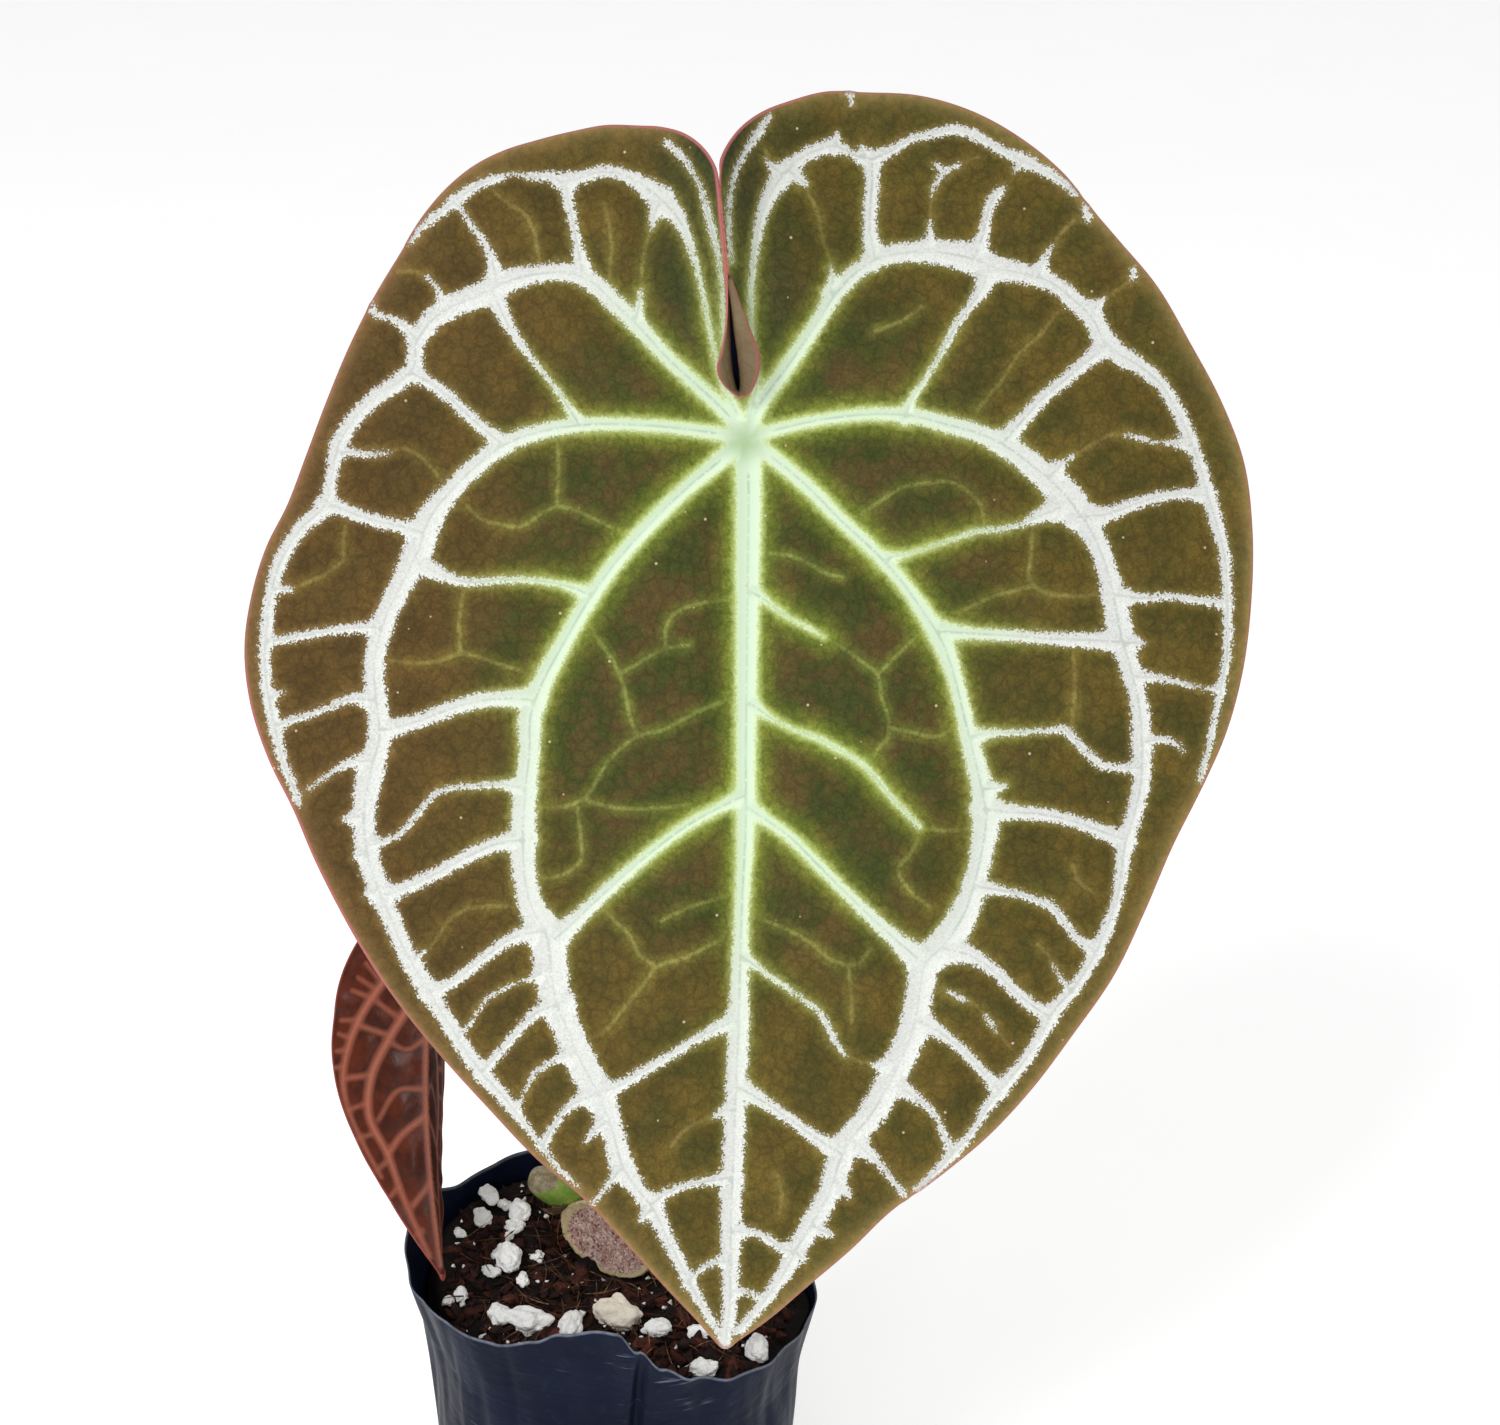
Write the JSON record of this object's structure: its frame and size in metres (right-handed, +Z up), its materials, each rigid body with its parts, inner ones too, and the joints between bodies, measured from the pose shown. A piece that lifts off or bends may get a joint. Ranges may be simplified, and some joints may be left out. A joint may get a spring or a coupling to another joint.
{
  "type": "potted crystal anthurium",
  "caption": "Velvet-leaved aroid house plant with one large heart-shaped silver-veined leaf and one young red leaf, growing from a cut rhizome in a black nursery bag.",
  "frame": {"origin": "centre of the bag's flat bottom, on the surface it stands on", "axes": "+Z up, +X to the plant's right as its leaves are faced, +Y away from the side that the leaves face"},
  "size_m": [0.2197, 0.1128, 0.3657],
  "materials": {
    "bag_film": "thin dark navy-black film with a satin sheen and fine creases",
    "mix": "dark red-brown coco chips and fibres with white perlite",
    "rhizome_bark": "tan bark with a speckled pink-brown cut face",
    "bud_skin": "waxy green bud with a papery tan sheath",
    "green_stem": "smooth satin olive green",
    "velvet_blade": "velvety olive to bronze blade with a silver-white vein net and a pink margin",
    "red_stem": "smooth satin reddish brown",
    "young_blade": "satin dark maroon with dusty salmon veins"
  },
  "bodies": {
    "root": {"nursery_bag": "bag_film", "potting_mix": "mix", "rhizome": "rhizome_bark", "growth_bud": "bud_skin", "large_petiole": "green_stem", "large_leaf": "velvet_blade", "young_petiole": "red_stem", "young_leaf": "young_blade"}
  },
  "joints": []
}
